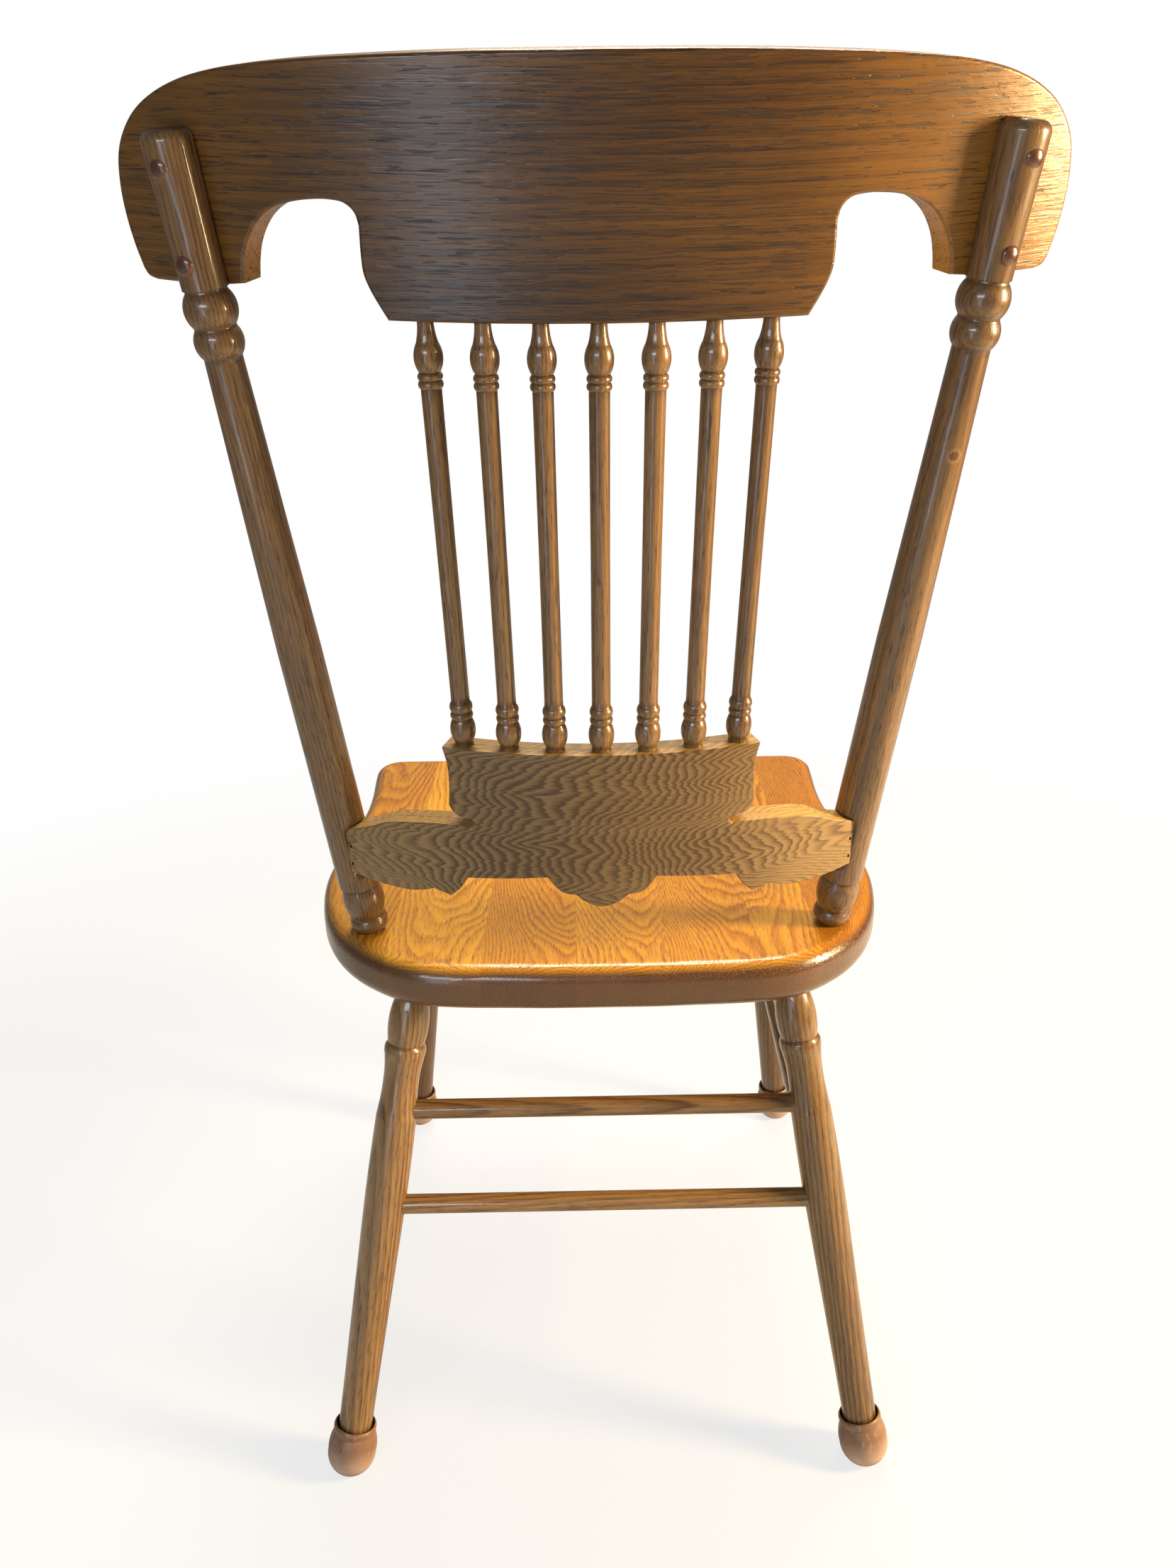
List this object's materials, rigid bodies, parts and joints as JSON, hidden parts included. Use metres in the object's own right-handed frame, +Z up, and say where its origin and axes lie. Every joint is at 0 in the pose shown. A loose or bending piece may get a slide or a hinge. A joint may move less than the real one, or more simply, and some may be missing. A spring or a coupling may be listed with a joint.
{
  "type": "spindle-back dining chair",
  "caption": "Wooden dining chair with a bent crest rail, turned posts, legs and spindles, a shaped splat, a dished plank seat and soft foot caps.",
  "frame": {"origin": "on the floor, under the middle of the chair's bounding box", "axes": "+Z up, the sitter faces -Y, +X towards the sitter's left"},
  "size_m": [0.55, 0.528, 1.0221],
  "materials": {
    "seat_wood": "glossy varnished honey oak, grain front to back",
    "turned_wood": "glossy varnished honey oak, grain along the piece",
    "board_wood": "varnished flat-sawn oak with open pores",
    "plug_wood": "varnished red-brown hardwood",
    "cap_silicone": "cloudy translucent silicone, pinkish grey",
    "steel": "plain steel wood screws and brads"
  },
  "bodies": {
    "root": {"seat_stave_1": "seat_wood", "seat_stave_2": "seat_wood", "seat_stave_3": "seat_wood", "seat_stave_4": "seat_wood", "seat_stave_5": "seat_wood", "seat_stave_6": "seat_wood", "seat_stave_7": "seat_wood", "front_leg_left": "turned_wood", "front_leg_right": "turned_wood", "rear_leg_left": "turned_wood", "rear_leg_right": "turned_wood", "front_foot_cap_left": "cap_silicone", "front_foot_cap_right": "cap_silicone", "rear_foot_cap_left": "cap_silicone", "rear_foot_cap_right": "cap_silicone", "front_stretcher_upper": "turned_wood", "front_stretcher_lower": "turned_wood", "rear_stretcher_upper": "turned_wood", "rear_stretcher_lower": "turned_wood", "left_stretcher_upper": "turned_wood", "left_stretcher_lower": "turned_wood", "right_stretcher_upper": "turned_wood", "right_stretcher_lower": "turned_wood", "back_post_left": "turned_wood", "back_post_right": "turned_wood", "spindle_1": "turned_wood", "spindle_2": "turned_wood", "spindle_3": "turned_wood", "spindle_4": "turned_wood", "spindle_5": "turned_wood", "spindle_6": "turned_wood", "spindle_7": "turned_wood", "crest_rail": "board_wood", "splat_rear_ply": "board_wood", "splat_front_ply": "board_wood", "button_plugs": "plug_wood", "back_screws": "steel", "splat_brads": "steel"}
  },
  "joints": []
}
